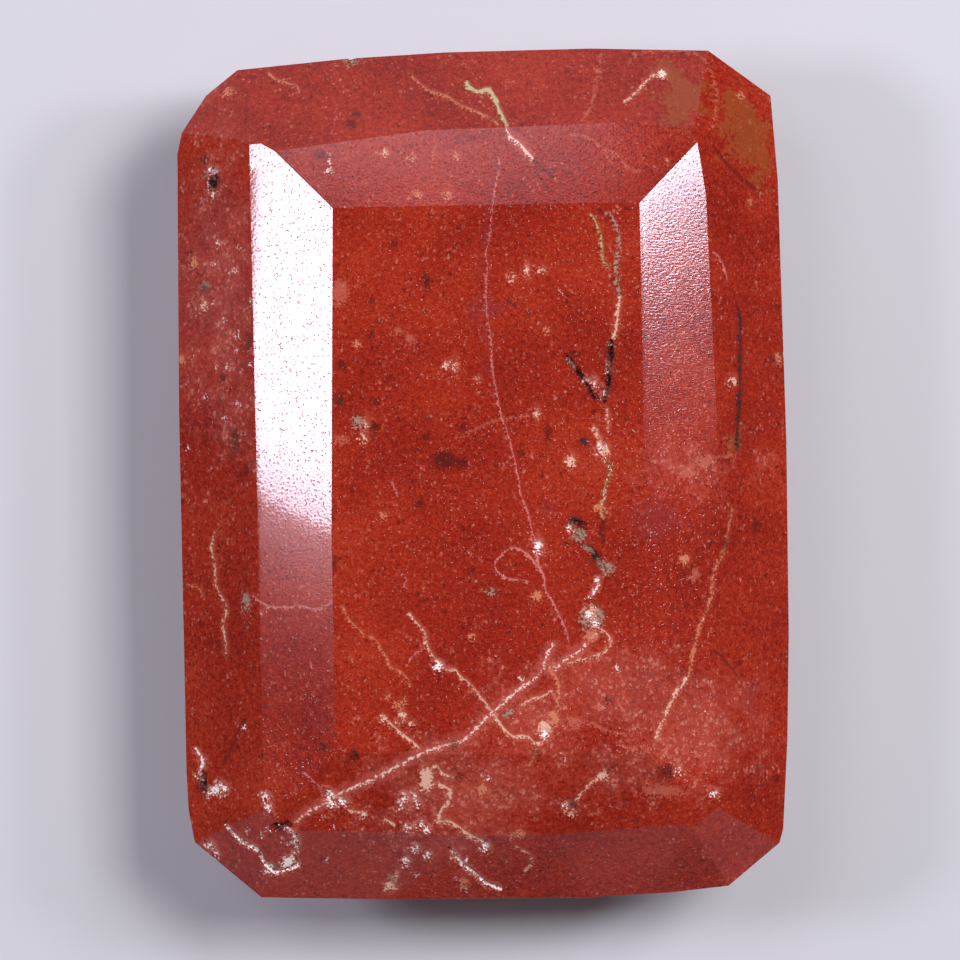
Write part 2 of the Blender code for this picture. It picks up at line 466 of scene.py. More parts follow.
# %% The veins as the photograph shows them
Vein = namedtuple("Vein", "kind width points")
VEINS = (
    Vein("orange", 0.14, [(408, 72), (418, 82), (430, 91), (449, 97), (457, 103), (477, 112),
        (492, 119), (500, 126)]),
    Vein("rose", 0.24, [(505, 128), (510, 137), (520, 144), (526, 151), (533, 159)]),
    Vein("dark", 0.16, [(533, 159), (541, 166), (552, 175), (555, 178)]),
    Vein("dark", 0.10, [(533, 166), (551, 193)]),
    Vein("olive", 0.42, [(467, 82), (468, 86), (478, 92), (489, 90), (496, 103), (502, 116),
        (507, 126)]),
    Vein("plum", (0.20, 0.26), [(492, 154), (496, 167), (493, 183), (489, 201), (487, 222), (486, 254),
        (482, 286), (484, 321), (487, 341), (489, 373)]),
    Vein("pink", (0.07, 0.10), [(495, 154), (500, 162), (496, 183), (493, 201), (491, 222), (490, 234),
        (486, 254), (487, 268), (486, 296), (488, 321), (491, 341), (493, 373), (497, 396), (502, 418),
        (508, 435), (514, 458), (519, 482), (521, 496), (527, 509), (531, 527), (534, 538),
        (538, 551)]),
    Vein("pink", 0.14, [(538, 551), (538, 563), (544, 576), (545, 590), (551, 599), (557, 611),
        (566, 631), (568, 642)]),
    Vein("pink", 0.16, [(493, 564), (501, 556), (512, 548), (529, 556), (538, 568), (544, 576)]),
    Vein("pink", 0.12, [(493, 564), (499, 573), (510, 579), (521, 580), (531, 583)]),
    Vein("salmon", 0.12, [(461, 549), (474, 555), (482, 561)]),
    Vein("pink", 0.10, [(392, 482), (398, 497)]),
    Vein("pink", 0.12, [(400, 572), (406, 580), (404, 586), (408, 591)]),
    Vein("cream", 0.14, [(408, 611), (415, 621), (424, 631), (427, 645), (436, 660), (445, 669),
        (456, 670), (460, 676), (471, 685), (479, 695), (488, 706), (493, 713)]),
    Vein("pink", 0.10, [(425, 648), (411, 658), (406, 666)]),
    Vein("orange", 0.12, [(343, 606), (347, 617), (354, 625), (365, 635), (376, 639), (380, 648),
        (387, 658), (390, 667), (400, 671), (409, 681), (410, 686)]),
    Vein("cream", 0.18, [(387, 720), (395, 728), (415, 744), (420, 749)]),
    Vein("rose", (0.14, 0.26), [(293, 824), (308, 812), (327, 802), (336, 796), (351, 788), (369, 781),
        (383, 774), (403, 763), (416, 756)]),
    Vein("rose", 0.20, [(416, 756), (431, 750), (445, 745), (459, 742), (469, 736), (478, 726),
        (493, 712), (503, 703), (514, 693), (529, 683), (542, 670), (546, 658), (554, 642)]),
    Vein("rose", (0.18, 0.12), [(546, 665), (554, 668), (567, 658), (581, 650), (589, 640),
        (598, 631)]),
    Vein("cream", 0.16, [(520, 706), (529, 700), (541, 697), (552, 690)]),
    Vein("grey", 0.30, [(503, 715), (513, 711)]),
    Vein("cream", 0.17, [(567, 664), (575, 661), (590, 657), (600, 654), (609, 648), (611, 640),
        (608, 635), (600, 628)]),
    Vein("orange", 0.22, [(546, 663), (551, 671), (557, 680), (559, 691), (557, 703), (560, 708)]),
    Vein("cream", 0.22, [(546, 733), (542, 743), (534, 743), (527, 736), (516, 737), (506, 731),
        (498, 721), (493, 713)]),
    Vein("orange", (0.20, 0.10), [(537, 746), (534, 756), (527, 769)]),
    Vein("cream", 0.28, [(436, 784), (450, 791), (448, 802), (440, 812), (438, 822), (446, 821),
        (458, 827), (469, 835), (484, 842)]),
    Vein("cream", 0.20, [(430, 772), (436, 766), (443, 774), (455, 777)]),
    Vein("white", 0.26, [(451, 849), (463, 864), (476, 874), (488, 884), (501, 888)]),
    Vein("white", 0.16, [(463, 864), (469, 857)]),
    Vein("orange", (0.08, 0.20), [(734, 506), (730, 520), (726, 542), (720, 561), (713, 575),
        (712, 594), (707, 608), (702, 621), (697, 637), (693, 655), (689, 675)]),
    Vein("cream", 0.20, [(689, 675), (679, 688), (671, 703), (665, 715), (659, 729), (656, 739)]),
    Vein("salmon", 0.14, [(656, 742), (645, 753), (636, 761), (621, 763)]),
    Vein("dark", 0.16, [(618, 763), (605, 774)]),
    Vein("cream", 0.18, [(605, 774), (590, 784), (573, 804)]),
    Vein("salmon", 0.18, [(575, 723), (588, 723), (603, 729), (618, 733), (635, 736)]),
    Vein("black", 0.10, [(738, 307), (740, 324), (740, 347), (740, 366), (740, 380), (739, 408),
        (737, 429), (737, 450)]),
    Vein("dark", 0.10, [(714, 650), (722, 657), (741, 680)]),
    Vein("olive", 0.22, [(591, 214), (598, 227), (602, 250), (602, 257), (609, 268)]),
    Vein("grey", (0.12, 0.20), [(608, 211), (616, 224), (619, 236), (618, 256), (616, 275),
        (620, 296)]),
    Vein("cream", 0.24, [(620, 296), (618, 310), (616, 327), (613, 340)]),
    Vein("black", (0.30, 0.16), [(611, 346), (610, 356), (609, 369), (609, 384), (604, 400)]),
    Vein("grey", 0.20, [(566, 356), (577, 370)]),
    Vein("black", (0.24, 0.14), [(577, 370), (585, 381), (595, 399)]),
    Vein("cream", 0.12, [(606, 406), (608, 420), (608, 431)]),
    Vein("cream", 0.20, [(593, 425), (598, 436), (602, 448)]),
    Vein("olive", 0.24, [(605, 460), (611, 469), (606, 483), (604, 496), (601, 510), (604, 519)]),
    Vein("dark", 0.26, [(604, 519), (602, 531), (604, 544)]),
    Vein("grey", 0.30, [(584, 546), (591, 549), (595, 556), (601, 563), (608, 566)]),
    Vein("white", 0.20, [(598, 575), (597, 587), (588, 599)]),
    Vein("cream", (0.10, 0.14), [(216, 530), (212, 547), (215, 566), (216, 586), (223, 599), (227, 613),
        (223, 622), (225, 636), (226, 656)]),
    Vein("orange", 0.12, [(185, 584), (199, 587), (204, 599)]),
    Vein("pink", 0.14, [(253, 596), (264, 604), (277, 608), (288, 607), (302, 606), (313, 609),
        (327, 605), (334, 600)]),
    Vein("cream", 0.16, [(625, 102), (633, 95), (644, 83), (654, 75), (662, 74)]),
    Vein("salmon", 0.11, [(626, 65), (632, 58), (644, 52), (668, 49), (696, 53), (707, 64), (714, 79),
        (717, 96), (716, 113), (712, 130)]),
    Vein("salmon", 0.12, [(602, 53), (599, 68), (596, 86), (588, 113), (578, 123)]),
    Vein("salmon", 0.12, [(570, 135), (587, 137), (598, 145), (616, 155), (626, 165), (634, 170),
        (643, 170)]),
    Vein("orange", 0.14, [(268, 71), (274, 78), (291, 84), (297, 85), (299, 93)]),
    Vein("salmon", 0.22, [(668, 467), (686, 475), (696, 461), (714, 458), (737, 455)]),
    Vein("salmon", 0.14, [(457, 438), (496, 421), (533, 415)]),
    Vein("pink", 0.10, [(530, 449), (532, 455), (534, 460)]),
    Vein("dark", 0.16, [(712, 144), (733, 170), (759, 191)]),
    Vein("white", (0.16, 0.26), [(195, 746), (203, 763), (200, 773)]),
    Vein("white", 0.22, [(226, 824), (236, 836), (248, 844), (259, 851), (266, 864), (276, 872),
        (286, 870)]),
    Vein("white", 0.24, [(286, 870), (298, 864), (293, 856), (298, 846), (296, 836), (286, 826)]),
    Vein("cream", 0.16, [(347, 810), (367, 814)]),
    Vein("cream", 0.16, [(381, 817), (396, 825)]),
    Vein("cream", 0.12, [(513, 844), (532, 860), (524, 872)]),
    Vein("pink", 0.10, [(303, 771), (321, 788)]),
    Vein("dark", 0.16, [(245, 718), (233, 744), (223, 766)]),
    Vein("dark", 0.24, [(335, 555), (335, 571)]),
    Vein("pink", 0.10, [(712, 250), (722, 263), (727, 280)]),
    Vein("orange", 0.22, [(667, 157), (667, 165)]),
    Vein("orange", 0.20, [(750, 197), (750, 208)]),
)
print(len(VEINS), "veins with", sum(len(vein.points) for vein in VEINS), "points")

# %% [markdown]
# A Float Curve node turns one number into another along a drawn curve, so it can hold the course
# of a vein: for each X it says at which Y the vein lies, or the other way round. A vein that
# turns back on itself has no single answer, so it is cut into runs that only go forward. In each
# run a second curve holds the width, and beyond its ends the width falls below none. What comes
# out is how deep a place lies inside the vein, in units of two millimetres. The curves take
# numbers from -1 to 1, so a place is divided by the 40 mm that they reach.

# %% Cut the veins into runs
STEEPEST = 2.0
Run = namedtuple("Run", "kind axis points widths")


def forward_runs(kind, points, widths):
    """Cut a line into runs that go forward along one axis, and say along which."""
    stretches, start, ways = [], 0, {(0, 1), (0, -1), (1, 1), (1, -1)}
    for end in range(1, len(points)):
        step = points[end] - points[end - 1]
        fits = {
            (axis, way) for axis in (0, 1) for way in (1, -1)
            if step[axis] * way > 0 and abs(step[1 - axis]) <= STEEPEST * abs(step[axis])
        }
        if not ways & fits:
            stretches.append((min(ways), start, end - 1))
            start, ways = end - 1, fits
        else:
            ways &= fits
    stretches.append((min(ways), start, len(points) - 1))
    for (axis, way), first, last in stretches:
        order = slice(first, last + 1)
        yield Run(kind, axis, points[order][::way], widths[order][::way])


runs = []
for vein in VEINS:
    points = on_stone(vein.points)
    first, last = vein.width if isinstance(vein.width, tuple) else (vein.width, vein.width)
    runs += forward_runs(vein.kind, points, np.linspace(first, last, len(points)))
print(len(runs), "runs")

# %% Draw a run with curves
REACH = 40.0
DEPTH_UNIT = 2.0
SHORTEST_FADE = 0.25
NO_WIDTH = -1.0


def set_curve(node, places):
    """Put a Float Curve through these places, which lie between -1 and 1."""
    node.mapping.clip_min_x = node.mapping.clip_min_y = -1.0
    curve = node.mapping.curves[0]
    while len(curve.points) < len(places):
        curve.points.new(0.0, 0.0)
    for point, place in zip(curve.points, places):
        point.location = place
        point.handle_type = "AUTO_CLAMPED"
    node.mapping.extend = "HORIZONTAL"
    node.mapping.update()


def draw_run(tree, axes, run):
    """How deep each place of the stone lies inside one run of a vein."""
    along, across = run.points[:, run.axis], run.points[:, 1 - run.axis]
    slope = np.abs(np.gradient(across, along))
    half = run.widths / 2 * np.sqrt(1.0 + slope ** 2)
    fade = max(SHORTEST_FADE, float(run.widths.max()))
    course = add(tree, "FloatCurve", {1: axes[run.axis]})
    set_curve(course.node, list(zip(along / REACH, across / REACH)))
    width = add(tree, "FloatCurve", {1: axes[run.axis]})
    set_curve(width.node, [
        ((along[0] - fade) / REACH, NO_WIDTH),
        *zip(along / REACH, half / DEPTH_UNIT),
        ((along[-1] + fade) / REACH, NO_WIDTH),
    ])
    off = add(tree, "Math", {0: axes[1 - run.axis], 1: course}, operation="SUBTRACT")
    off = add(tree, "Math", {0: off}, operation="ABSOLUTE")
    return add(tree, "Math", {0: off, 1: -REACH / DEPTH_UNIT, 2: width}, operation="MULTIPLY_ADD")


print("the curves reach", REACH, "mm from the middle of the stone")

# %% [markdown]
# ## Spots
#
# Between the veins lie spots: grains and small pockets of the same minerals, and faint pale
# clouds of fine speckle that carry a painted sheen, where the polish mirrors a dim light. Tiny
# painted glints stand for light caught by single grains. Each is an oval with its place and its
# half width and half height in pixels. They join the veins of their kind.

# %% The spots as the photograph shows them
PIXELS_PER_MM = 12.3
SPOTS = {
    # Pale clouds of fine speckle with a painted sheen; the long one on the left step is mostly painted
    # sheen.
    "speckle_and_sheen": (
        (222, 290, 20, 95), (240, 420, 14, 30), (690, 725, 62, 46), (715, 748, 26, 20),
        (620, 775, 40, 12), (690, 466, 26, 12), (460, 795, 75, 45), (530, 720, 45, 32),
        (615, 690, 60, 40),
    ),
    "brown": (
        (682, 100, 20, 30), (672, 76, 14, 14), (745, 130, 26, 30), (722, 96, 16, 12),
        (757, 160, 12, 14), (735, 448, 6, 5),
    ),
    "plum": (
        (654, 522, 26, 20), (495, 309, 8, 5), (475, 316, 6, 8), (547, 507, 5, 5), (321, 724, 6, 6),
        (755, 698, 7, 13), (598, 440, 5, 5),
    ),
    "dark": (
        (444, 460, 12, 9), (461, 463, 8, 5), (235, 440, 3, 12), (249, 341, 3, 8), (323, 746, 4, 4),
        (667, 771, 9, 7), (472, 570, 4, 3), (420, 503, 4, 4), (739, 662, 3, 3), (776, 778, 3, 3),
        (246, 470, 3, 5), (240, 476, 3, 4), (321, 154, 5, 4), (205, 158, 3, 5), (395, 243, 4, 3),
        (427, 281, 3, 7), (372, 300, 3, 3), (376, 401, 4, 3), (427, 437, 3, 3), (463, 426, 3, 3),
        (522, 453, 3, 3), (371, 335, 3, 3), (341, 365, 5, 4), (375, 427, 5, 4), (548, 432, 3, 8),
        (575, 354, 4, 3), (223, 377, 3, 3), (455, 744, 5, 3), (352, 124, 6, 4), (357, 114, 4, 3),
        (725, 543, 3, 4), (756, 525, 3, 6), (460, 776, 4, 3), (536, 752, 4, 3), (608, 700, 3, 3),
    ),
    "grey": (
        (204, 286, 5, 4), (592, 617, 12, 11), (580, 534, 6, 6), (491, 591, 4, 3), (608, 567, 6, 5),
        (393, 878, 3, 4), (246, 601, 4, 8), (213, 172, 5, 4), (352, 61, 6, 2), (612, 347, 2, 5),
        (611, 352, 2, 3), (358, 421, 5, 6),
    ),
    "salmon": (
        (575, 723, 7, 6), (340, 292, 8, 12), (410, 340, 5, 5), (398, 331, 4, 3), (664, 791, 20, 6),
        (341, 440, 8, 4), (694, 575, 5, 7), (687, 472, 6, 5), (706, 461, 10, 6),
    ),
    "orange": (
        (554, 718, 5, 7), (194, 262, 4, 6), (229, 91, 6, 3), (473, 636, 3, 3), (383, 516, 3, 3),
        (483, 790, 5, 5), (464, 882, 5, 4), (685, 559, 5, 5), (519, 834, 7, 3), (741, 95, 3, 3),
        (182, 360, 3, 5), (778, 358, 4, 5), (537, 596, 5, 5), (398, 706, 3, 4), (357, 344, 3, 3),
        (547, 330, 3, 3), (600, 507, 5, 4), (592, 636, 6, 5), (388, 696, 3, 3), (404, 700, 2, 3),
        (455, 156, 4, 3), (434, 155, 2, 2), (418, 195, 5, 3), (447, 195, 5, 3),
    ),
    "cream": (
        (383, 718, 3, 3), (426, 779, 7, 12), (603, 775, 5, 4), (571, 812, 5, 3), (545, 728, 6, 7),
        (403, 716, 3, 4), (411, 723, 3, 2), (396, 722, 2, 2), (391, 886, 5, 4), (396, 873, 2, 4),
        (386, 152, 2, 2), (413, 157, 2, 2), (456, 856, 4, 4), (571, 461, 4, 6), (604, 450, 5, 7),
        (592, 612, 6, 7), (662, 74, 5, 4), (455, 365, 2, 5), (446, 365, 3, 3), (527, 270, 2, 5),
        (512, 278, 3, 3), (542, 269, 3, 2), (537, 413, 2, 4), (204, 305, 3, 4), (732, 380, 4, 4),
        (366, 426, 2, 5), (364, 438, 3, 3), (478, 379, 2, 2),
    ),
    # Most black spots lie in the hollows and make them darker.
    "black": (
        (576, 522, 6, 4), (203, 784, 4, 7), (213, 182, 5, 8), (584, 442, 4, 3), (572, 804, 3, 3),
        (595, 556, 3, 4), (354, 754, 3, 3), (204, 287, 2, 2), (282, 827, 5, 3), (773, 359, 2, 2),
        (276, 866, 3, 2), (340, 399, 2, 3),
    ),
    # White crystals; the small white spots in and round the hollows are also painted glints on those
    # crystals.
    "white": (
        (439, 665, 4, 4), (538, 546, 4, 6), (486, 846, 4, 4), (567, 804, 2, 2), (587, 380, 2, 2),
        (594, 382, 2, 3), (609, 366, 1, 2), (605, 392, 1, 2), (571, 527, 2, 2), (600, 447, 2, 4),
        (590, 613, 3, 4), (597, 622, 3, 3), (213, 170, 4, 3), (213, 193, 3, 2), (210, 791, 4, 3),
        (220, 784, 3, 3), (225, 788, 3, 3), (200, 775, 3, 3), (210, 844, 4, 3), (216, 853, 3, 3),
        (265, 796, 4, 3), (269, 807, 3, 3), (329, 794, 5, 4), (332, 803, 4, 3), (342, 801, 5, 3),
        (404, 796, 3, 3), (414, 795, 3, 3), (417, 802, 3, 2), (400, 804, 3, 3), (421, 822, 3, 3),
        (427, 829, 3, 3), (409, 827, 3, 2), (416, 847, 3, 3), (406, 860, 3, 3), (428, 854, 3, 3),
        (545, 734, 4, 4), (679, 768, 2, 2), (715, 792, 3, 2), (288, 862, 6, 6), (270, 868, 5, 4),
        (216, 790, 5, 4),
    ),
    # Tiny painted glints: points of light caught by single grains of the polish.
    "painted_glint": (
        (219, 243, 1, 2), (238, 246, 1, 1), (216, 265, 1, 1), (234, 270, 2, 1), (214, 302, 1, 1),
        (250, 301, 1, 2), (226, 321, 1, 1), (238, 333, 1, 3), (236, 348, 1, 1), (193, 356, 1, 1),
        (217, 366, 1, 1), (227, 366, 1, 1), (251, 363, 1, 1), (206, 396, 1, 1), (238, 403, 2, 1),
        (226, 417, 1, 1), (244, 434, 1, 1), (189, 446, 1, 1), (330, 163, 1, 2), (330, 170, 2, 1),
        (329, 156, 1, 2), (245, 727, 2, 2), (561, 292, 1, 1), (481, 773, 1, 1), (322, 817, 1, 1),
        (333, 826, 1, 2), (364, 814, 2, 1), (417, 874, 2, 1), (408, 866, 1, 1), (328, 858, 1, 1),
        (466, 890, 2, 1), (456, 879, 1, 1), (276, 815, 1, 1), (268, 828, 1, 1), (262, 834, 1, 1),
        (283, 838, 1, 1), (291, 842, 2, 1), (248, 830, 1, 1), (617, 668, 2, 2), (579, 691, 1, 1),
        (662, 73, 2, 2), (522, 680, 2, 2), (566, 760, 1, 1), (489, 777, 2, 1),
    ),
}

Oval = namedtuple("Oval", "kind middle sides")
ovals = [
    Oval(kind, on_stone([(px, py)])[0], np.array((wide, high)) / PIXELS_PER_MM)
    for kind, spots in SPOTS.items() for px, py, wide, high in spots
]


def draw_oval(tree, torn, oval):
    """How deep each place of the stone lies inside an oval spot."""
    stretch = (*(1.0 / oval.sides), 0.0)
    shift = (*(-oval.middle / oval.sides), 0.0)
    out = add(tree, "VectorMath", {0: torn, 1: stretch, 2: shift}, operation="MULTIPLY_ADD")
    out = add(tree, "VectorMath", {0: out}, out=1, operation="LENGTH")
    shrink = float(min(oval.sides)) / DEPTH_UNIT
    return add(tree, "Math", {0: out, 1: -shrink, 2: shrink}, operation="MULTIPLY_ADD")


print(len(ovals), "spots")

# %% [markdown]
# ## The red ground
#
# The brick red isn't even. Seen closely it is made of grains a quarter of a millimetre across,
# some more orange and some nearly maroon, and it drifts slowly over centimetres. Quartz grains a
# tenth of a millimetre wide are strewn over it in swarms, from orange to pink, and so are dark
# specks of iron oxide. Voronoi cells place the specks, one in each cell, and a chance value for
# each cell sets its size and leaves most of them out.

# %% Specks
SWARM_PULL = 0.9


def covered(tree, depth, soft, cover):
    """How much of the ground is hidden at a depth inside a marking, from none to cover."""
    share = add(tree, "Math", {0: depth, 1: 1.0 / soft, 2: 0.5}, operation="MULTIPLY_ADD",
                use_clamp=True)
    return add(tree, "Math", {0: share, 1: cover}, operation="MULTIPLY")


def specks(tree, ground, per_mm, least, swarming):
    """How far inside a speck a place lies, and a chance value of that speck for its hue."""
    cells = add(tree, "TexVoronoi", {"Vector": ground.drawn, "Scale": per_mm})
    chances = add(tree, "SeparateColor", {0: cells.node.outputs["Color"]}).node
    size = add(tree, "Math", {0: chances.outputs[0], 1: least}, operation="ADD")
    size = add(tree, "Math", {0: swarming, 1: SWARM_PULL, 2: size}, operation="MULTIPLY_ADD")
    return add(tree, "Math", {0: size, 1: cells}, operation="SUBTRACT"), chances.outputs[1]


print("a swarm adds up to", SWARM_PULL, "of a cell to the radius of its specks")

# %% The red and its grain
FINE_SHARE, GRAIN_SHARE, DRIFT_SHARE = 0.50, 0.60, 0.45
MAROON_AT, BRICK_AT, ORANGE_AT = 0.58, 0.78, 0.98
SPECKLE_AND_SHEEN_PULL = 3.0
DARK_PER_MM, DARK_LEAST, DARK_SOFT, DARK_COVER = 1.9, -1.13, 0.16, 0.65
PALE_PER_MM, PALE_LEAST, PALE_SOFT, PALE_COVER = 3.6, -1.12, 0.40, 0.55


def red_ground(tree, ground, speckle_and_sheen):
    """The colour of the jasper before any vein or spot is drawn."""
    tone = add(tree, "Math", {0: ground.fine, 1: FINE_SHARE}, operation="MULTIPLY")
    tone = add(tree, "Math", {0: ground.grain, 1: GRAIN_SHARE, 2: tone}, operation="MULTIPLY_ADD")
    tone = add(tree, "Math", {0: ground.drift, 1: DRIFT_SHARE, 2: tone}, operation="MULTIPLY_ADD")
    red = add(tree, "ValToRGB", {0: tone})
    shades = red.node.color_ramp.elements
    shades[0].position, shades[0].color = MAROON_AT, linear("#74150A")
    shades[1].position, shades[1].color = ORANGE_AT, linear("#AC391F")
    shades.new(BRICK_AT).color = linear("#962413")

    swarming = ground.swarm
    # Under the painted sheen the pale specks swarm more densely.
    if speckle_and_sheen is not None:
        swarming = add(tree, "Math", {0: speckle_and_sheen, 1: SPECKLE_AND_SHEEN_PULL, 2: swarming}, operation="MULTIPLY_ADD")
    dark, _ = specks(tree, ground, DARK_PER_MM, DARK_LEAST, ground.swarm)
    dark = covered(tree, dark, DARK_SOFT, DARK_COVER)
    red = add(tree, "Mix", {0: dark, 6: red, 7: linear("#4E1510")}, out=2, data_type="RGBA")
    pale, hue = specks(tree, ground, PALE_PER_MM, PALE_LEAST, swarming)
    pale = covered(tree, pale, PALE_SOFT, PALE_COVER)
    grains = add(tree, "Mix", {0: hue, 6: linear("#BC4E2C"), 7: linear("#D98E7E")}, out=2,
                 data_type="RGBA")
    return add(tree, "Mix", {0: pale, 6: red, 7: grains}, out=2, data_type="RGBA")


print("cells of pale specks in a square mm:", round(PALE_PER_MM ** 2))

# %% [markdown]
# Each kind has a colour, how soft its border is, how far the grain eats into it, and how much of
# the ground it hides. Most have a halo too, a wider and fainter rim where the mineral seeped into
# the jasper, and their core lies a little inside it. They are laid over the ground from the
# faintest to the strongest. Lengths are in millimetres.

# %% The kinds of marking
Kind = namedtuple("Kind", "colour soft ragged cover inset halo halo_width halo_cover",
                  defaults=(0.0, None, 1.0, 0.0))
KINDS = {
    # Pale speckle with a painted sheen over it.
    "speckle_and_sheen": Kind("#D98478", 4.0, 4.5, 0.12),
    "brown": Kind("#8C4820", 0.9, 3.4, 0.62),
    "plum": Kind("#7A2B33", 0.8, 1.2, 0.35),
    "salmon": Kind("#C8705A", 0.30, 0.7, 0.42),
    "olive": Kind("#CDBB92", 0.16, 0.4, 0.75, 0.10, "#8A6A3A", 0.30, 0.55),
    "orange": Kind("#DB8A66", 0.14, 0.4, 0.62, 0.03, "#A94E34", 0.36, 0.40),
    "grey": Kind("#A39A84", 0.20, 1.0, 0.60, 0.04, "#7E4034", 0.40, 0.45),
    "cream": Kind("#E8BFA4", 0.14, 0.45, 0.76, 0.045, "#B85F4A", 0.42, 0.50),
    "rose": Kind("#F2CBBC", 0.14, 0.6, 0.88, 0.06, "#BE6254", 0.85, 0.55),
    "pink": Kind("#E08C7E", 0.11, 0.25, 0.62, 0.01, "#963638", 0.26, 0.30),
    "dark": Kind("#43140F", 0.24, 0.8, 0.75),
    "black": Kind("#120B10", 0.14, 0.9, 0.92, 0.0, "#4E1510", 0.30, 0.60),
    # Painted glints, near white.
    "painted_glint": Kind("#F6E2DA", 0.12, 0.30, 0.85),
    "white": Kind("#FAEEE8", 0.13, 0.75, 0.92, 0.07, "#CC7C6C", 0.46, 0.60),
}
print(len(KINDS), "kinds of marking")


# %% Find the markings of an area
AREA_MARGIN = 1.2


def deeper(tree, one, other):
    """The deeper of two depths, where there is a first one."""
    if one is None:
        return other
    return add(tree, "Math", {0: one, 1: other}, operation="MAXIMUM")


def deepest(tree, kind, ground, axes, area):
    """How deep each place lies inside any marking of one kind that touches an area."""
    margin = AREA_MARGIN + KINDS[kind].soft / 2 + KINDS[kind].ragged / 2
    low, high = area[0] - margin, area[1] + margin
    deep = None
    for run in runs:
        if run.kind == kind and (run.points.max(0) > low).all() and (run.points.min(0) < high).all():
            deep = deeper(tree, deep, draw_run(tree, axes, run))
    for oval in ovals:
        near = (oval.middle + oval.sides > low).all() and (oval.middle - oval.sides < high).all()
        if oval.kind == kind and near:
            deep = deeper(tree, deep, draw_oval(tree, ground.torn, oval))
    return deep


print("markings are looked for up to", AREA_MARGIN, "mm outside an area, and more for soft ones")

# %% [markdown]
# The grain eats into the borders of the markings. A sharp border is eaten by the fine noises, and
# a cloudy one by the wide ones. Each noise lies round a half, so the sums are shifted to lie
# round zero.

# %% Lay the minerals over the ground
CLOUDY = 0.7
WIDE_SHARE = 2.0
FINE_MEAN, WIDE_MEAN = 1.0, 1.5


def lay_minerals(tree, ground, area):
    """The colour of the red ground with the markings of an area over it, and their shares."""
    scaled = add(tree, "VectorMath", {0: ground.drawn, "Scale": 1.0 / REACH}, operation="SCALE")
    split = add(tree, "SeparateXYZ", {0: scaled}).node
    axes = (split.outputs[0], split.outputs[1])
    fine_bite = add(tree, "Math", {0: ground.grain, 1: ground.fine}, operation="ADD")
    fine_bite = add(tree, "Math", {0: fine_bite, 1: -FINE_MEAN}, operation="ADD")
    wide_bite = {0: ground.swarm, 1: WIDE_SHARE, 2: ground.grain}
    wide_bite = add(tree, "Math", wide_bite, operation="MULTIPLY_ADD")
    wide_bite = add(tree, "Math", {0: wide_bite, 1: -WIDE_MEAN}, operation="ADD")
    depths, shares = {}, {}
    for name, kind in KINDS.items():
        deep = deepest(tree, name, ground, axes, area)
        if deep is not None:
            bite = wide_bite if kind.soft > CLOUDY else fine_bite
            deep = {0: deep, 1: DEPTH_UNIT, 2: -kind.inset}
            deep = add(tree, "Math", deep, operation="MULTIPLY_ADD")
            deep = {0: bite, 1: kind.ragged, 2: deep}
            depths[name] = add(tree, "Math", deep, operation="MULTIPLY_ADD")
            shares[name] = covered(tree, depths[name], kind.soft, kind.cover)

    colour = red_ground(tree, ground, shares.get("speckle_and_sheen"))
    for name, depth in depths.items():
        kind = KINDS[name]
        if kind.halo is not None:
            rim = add(tree, "Math", {0: depth, 1: kind.halo_width / 2}, operation="ADD")
            rim = covered(tree, rim, kind.halo_width, kind.halo_cover)
            colour = add(tree, "Mix", {0: rim, 6: colour, 7: linear(kind.halo)}, out=2,
                         data_type="RGBA")
        colour = add(tree, "Mix", {0: shares[name], 6: colour, 7: linear(kind.colour)}, out=2,
                     data_type="RGBA")
    return colour, shares


print("cloudy kinds:", [name for name, kind in KINDS.items() if kind.soft > CLOUDY])

# %% [markdown]
# ## The polish
#
# The polish is even on the table and weaker in two places. The girdle was only ground, so it is
# dull. The narrow facet to the right of the table kept fine scratches from the last lap, which
# run across it and smear a reflection along its length. The scratches are one or two hundredths
# of a millimetre wide, too fine to show, so they are drawn a tenth of a millimetre wide. Where a
# hollow or a grain of white quartz breaks the surface, it is duller too. Each stretch is given in
# millimetres by its two ends and the softness of its border.

# %% Gloss
POLISHED = 0.11
GIRDLE_MORE, SCRATCHED_MORE = 0.26, 0.02
BROKEN_MORE = (("black", 0.25), ("white", 0.15))
SCRATCHED_X, SCRATCHED_Y = (13.1, 19.3, 0.15), (1.0, 21.0, 2.0)
GIRDLE_Z = (10.41, 12.39, 0.03)


def between(tree, value, low, high, soft):
    """One where a value lies between two others, falling to none over a soft border."""
    rise = add(tree, "MapRange", {0: value, 1: low - soft, 2: low + soft})
    fall = add(tree, "MapRange", {0: value, 1: high - soft, 2: high + soft, 3: 1.0, 4: 0.0})
    return add(tree, "Math", {0: rise, 1: fall}, operation="MULTIPLY")


def polish(tree, ground, shares):
    """How rough the surface is, and where the lap left scratches."""
    place = add(tree, "SeparateXYZ", {0: ground.in_mm}).node
    scratched = between(tree, place.outputs[0], *SCRATCHED_X)
    upper_part = between(tree, place.outputs[1], *SCRATCHED_Y)
    scratched = add(tree, "Math", {0: scratched, 1: upper_part}, operation="MULTIPLY")
    girdle = between(tree, ground.height, *GIRDLE_Z)
    rough = add(tree, "Math", {0: girdle, 1: GIRDLE_MORE, 2: POLISHED}, operation="MULTIPLY_ADD")
    rough = add(tree, "Math", {0: scratched, 1: SCRATCHED_MORE, 2: rough}, operation="MULTIPLY_ADD")
    for name, more in BROKEN_MORE:
        if name in shares:
            rough = add(tree, "Math", {0: shares[name], 1: more, 2: rough}, operation="MULTIPLY_ADD")
    return rough, scratched


print("roughness of the table:", POLISHED, "and of the girdle:", round(POLISHED + GIRDLE_MORE, 2))

# %% Pits and scratches
RELIEF = 0.004 * MM
GRAINS_PER_MM, GRAIN_HEIGHT = 5.0, 0.7
PIT_FROM, PIT_TO, PIT_DEPTH = 0.70, 0.78, -2.0
SCRATCH_TURN, SCRATCH_HEIGHT = radians(-6.0), 1.1
SCRATCHES_PER_MM = (0.14, 8.0, 8.0)


